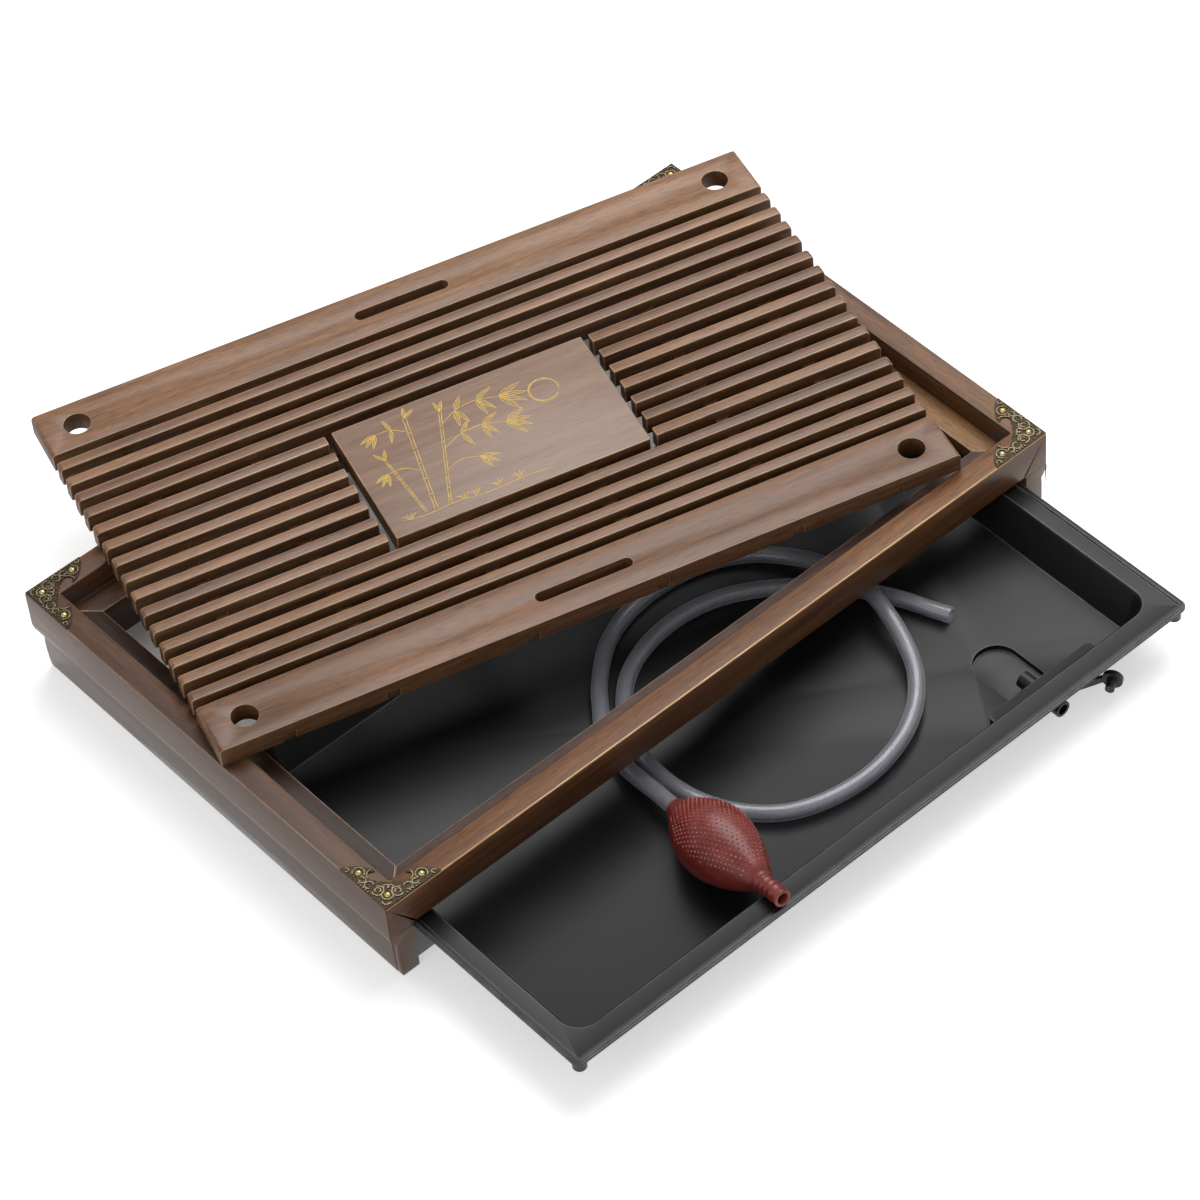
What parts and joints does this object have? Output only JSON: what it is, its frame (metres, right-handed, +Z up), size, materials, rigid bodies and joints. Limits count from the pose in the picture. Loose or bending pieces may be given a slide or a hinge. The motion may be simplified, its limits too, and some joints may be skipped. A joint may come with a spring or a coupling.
{
  "type": "tea tray",
  "caption": "Wooden gongfu tea tray: moulded frame with brass corners, lift-off slatted grille, black pull-out drip drawer with drain spout and a siphon bulb on a clear hose.",
  "frame": {"origin": "on the table, under the middle of the whole object's box as shown: frame, lying grille and pulled-out drawer", "axes": "+X to the right along the drawer front, +Y to the back (the drawer comes out to -Y), +Z up"},
  "size_m": [0.5354, 0.5679, 0.0786],
  "materials": {
    "frame_wood": "satin",
    "ledge_wood": "satin",
    "grille_wood": "satin",
    "brass": "satin",
    "black_plastic": "satin",
    "black_rubber": "matte",
    "red_rubber": "satin",
    "clear_hose": "clear"
  },
  "bodies": {
    "frame": {"front_board": "frame_wood", "back_board": "frame_wood", "side_board_left": "frame_wood", "side_board_right": "frame_wood", "ledge_front": "ledge_wood", "ledge_back": "ledge_wood", "ledge_left": "ledge_wood", "ledge_right": "ledge_wood", "corner_plate_1": "brass", "corner_plate_2": "brass", "corner_plate_3": "brass", "corner_plate_4": "brass", "corner_nails": "brass"},
    "grille": {"grille_board_front": "grille_wood", "grille_board_back": "grille_wood", "slat_01": "grille_wood", "slat_02": "grille_wood", "slat_03": "grille_wood", "slat_04": "grille_wood", "slat_12": "grille_wood", "slat_13": "grille_wood", "slat_14": "grille_wood", "slat_15": "grille_wood", "slat_05_left": "grille_wood", "slat_06_left": "grille_wood", "slat_07_left": "grille_wood", "slat_08_left": "grille_wood", "slat_09_left": "grille_wood", "slat_10_left": "grille_wood", "slat_11_left": "grille_wood", "slat_05_right": "grille_wood", "slat_06_right": "grille_wood", "slat_07_right": "grille_wood", "slat_08_right": "grille_wood", "slat_09_right": "grille_wood", "slat_10_right": "grille_wood", "slat_11_right": "grille_wood", "center_plate": "grille_wood", "batten_1": "grille_wood", "batten_2": "grille_wood", "batten_3": "grille_wood", "batten_4": "grille_wood", "batten_5": "grille_wood", "batten_6": "grille_wood"},
    "drawer": {"drip_tray": "black_plastic", "drain_spout": "black_plastic", "siphon_bulb": "red_rubber", "siphon_hose": "clear_hose"},
    "plug": {"drain_plug": "black_rubber"}
  },
  "joints": [
    {"name": "drawer_slide", "type": "slide", "parent": "frame", "child": "drawer", "axis": [0, 1, 0], "range_m": [0, 0.135], "deforming": ["siphon_bulb"]},
    {"name": "grille_lift", "type": "slide", "parent": "frame", "child": "grille", "axis": [0, 0, 1], "range_m": [0, 0.12]},
    {"name": "plug_turn", "type": "hinge", "parent": "drawer", "child": "plug", "pos_m": [0.12877, -0.25866, 0.011], "axis": [0, 1, 0], "range_deg": [-17, 9]}
  ]
}
